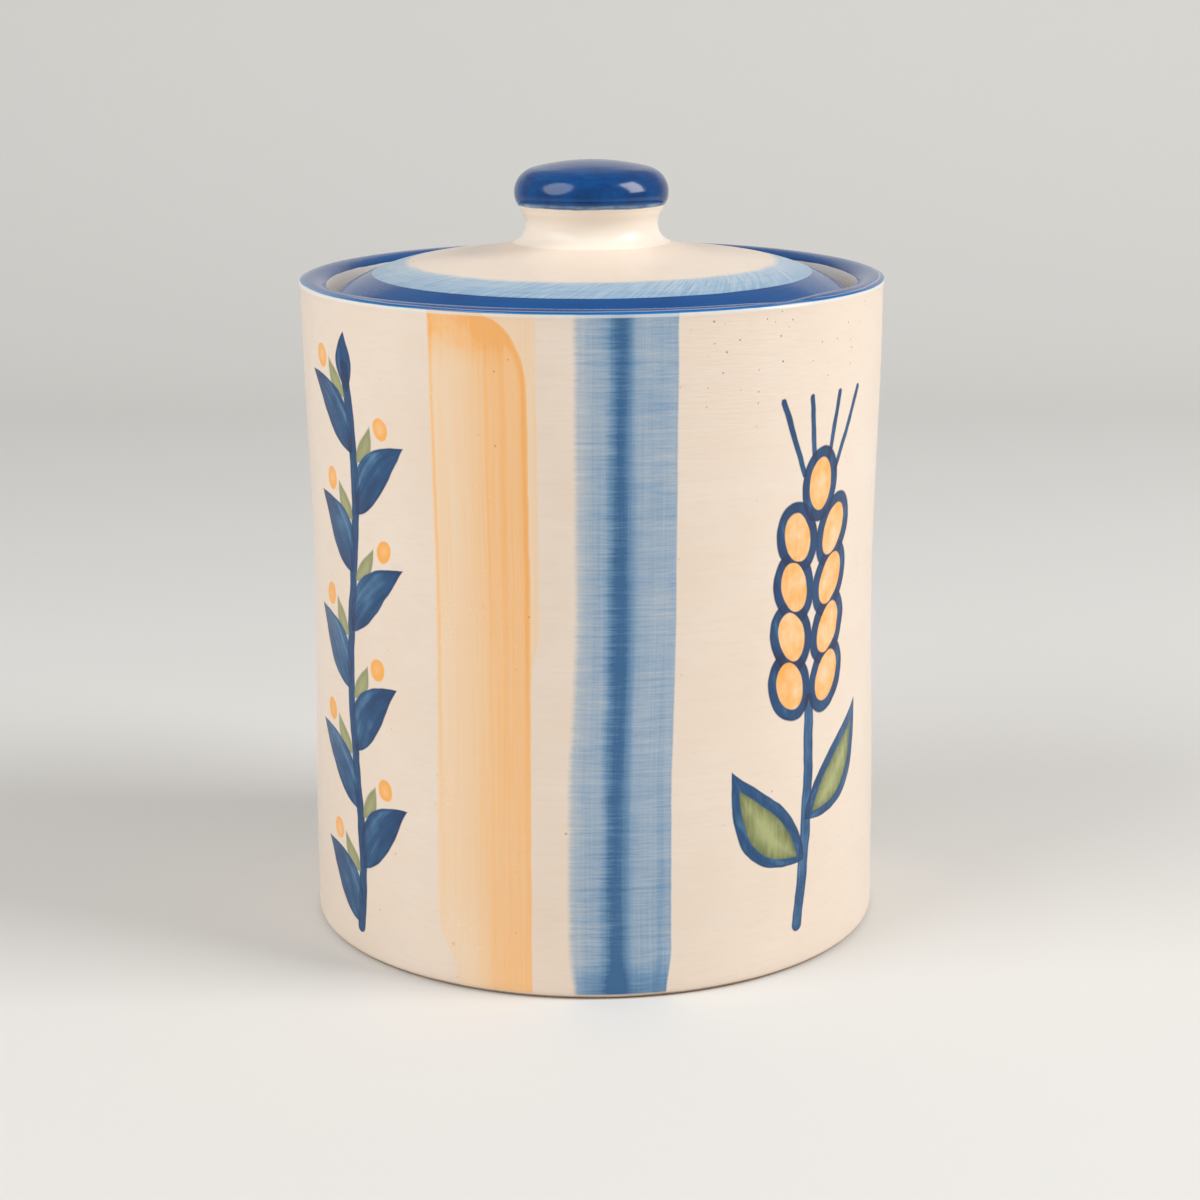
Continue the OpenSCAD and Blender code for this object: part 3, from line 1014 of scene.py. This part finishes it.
def make_camera():
    """The camera as it was fitted to the photograph."""
    camera = bpy.data.objects.new("camera", bpy.data.cameras.new("camera"))
    camera.data.sensor_width = SENSOR_MM
    camera.data.lens = SENSOR_MM * FOCAL_PIXELS / FRAME_PIXELS
    level = Vector((0, math.sin(CAMERA_PITCH), math.cos(CAMERA_PITCH)))
    forward = Vector((0, math.cos(CAMERA_PITCH), -math.sin(CAMERA_PITCH)))
    right = Vector((1, 0, 0)) * math.cos(CAMERA_ROLL) + level * math.sin(CAMERA_ROLL)
    up = level * math.cos(CAMERA_ROLL) - Vector((1, 0, 0)) * math.sin(CAMERA_ROLL)
    turn = Matrix((right, up, -forward)).transposed().to_4x4()
    camera.matrix_world = Matrix.Translation(CAMERA_PLACE) @ turn
    bpy.context.scene.collection.objects.link(camera)
    bpy.context.scene.camera = camera


# Stage and light

FLOOR_COLOUR = srgb(222, 220, 216)
FLOOR_ROUGHNESS = 0.9
LAMP_AIM = (0, 0, 0.12)
LAMP_DISTANCE = 1.7
WORLD_STRENGTH = 0.35


def make_floor():
    """A pale sweep: a floor that curves up into a low backdrop well behind the canister."""
    half, back, bend, high = 3.0, 0.9, 0.5, 0.9
    line = [(-3.0, 0.0), (back, 0.0)]
    line += [(back + bend * math.sin(math.radians(a)), bend - bend * math.cos(math.radians(a)))
             for a in range(5, 91, 5)]
    line += [(back + bend, high)]
    mesh = bpy.data.meshes.new("floor")
    verts = [(x, y, z) for y, z in line for x in (-half, half)]
    faces = [(2 * i, 2 * i + 1, 2 * i + 3, 2 * i + 2) for i in range(len(line) - 1)]
    mesh.from_pydata(verts, [], faces)
    mesh.shade_smooth()
    floor = bpy.data.objects.new("floor", mesh)
    bpy.context.scene.collection.objects.link(floor)
    material = bpy.data.materials.new("floor")
    material.use_nodes = True
    shader = material.node_tree.nodes["Principled BSDF"]
    shader.inputs["Base Color"].default_value = FLOOR_COLOUR
    shader.inputs["Roughness"].default_value = FLOOR_ROUGHNESS
    mesh.materials.append(material)


def softbox(name, azimuth, elevation, size, watts, shape):
    """A soft lamp aimed at the canister. Azimuth is in degrees from the front."""
    turn, lift = math.radians(azimuth), math.radians(elevation)
    out = Vector((math.sin(turn) * math.cos(lift), -math.cos(turn) * math.cos(lift), math.sin(lift)))
    data = bpy.data.lights.new(name, "AREA")
    data.shape = shape
    data.size, data.size_y = size
    data.energy = watts
    lamp = bpy.data.objects.new(name, data)
    lamp.location = Vector(LAMP_AIM) + out * LAMP_DISTANCE
    lamp.rotation_euler = (-out).to_track_quat("-Z", "Y").to_euler()
    bpy.context.scene.collection.objects.link(lamp)


def make_light():
    """A lamp to either side, so that neither is mirrored in the lid, and a dim white world."""
    softbox("key", azimuth=74, elevation=35, size=(0.75, 1.15), watts=22.8, shape="RECTANGLE")
    softbox("fill", azimuth=-58, elevation=34, size=(1.3, 1.5), watts=17.9, shape="ELLIPSE")
    world = bpy.data.worlds.new("world")
    bpy.context.scene.world = world
    world.use_nodes = True
    background = world.node_tree.nodes["Background"]
    background.inputs["Color"].default_value = (1, 1, 1, 1)
    background.inputs["Strength"].default_value = WORLD_STRENGTH


make_camera()
make_floor()
make_light()
bpy.context.scene.view_settings.view_transform = "Standard"
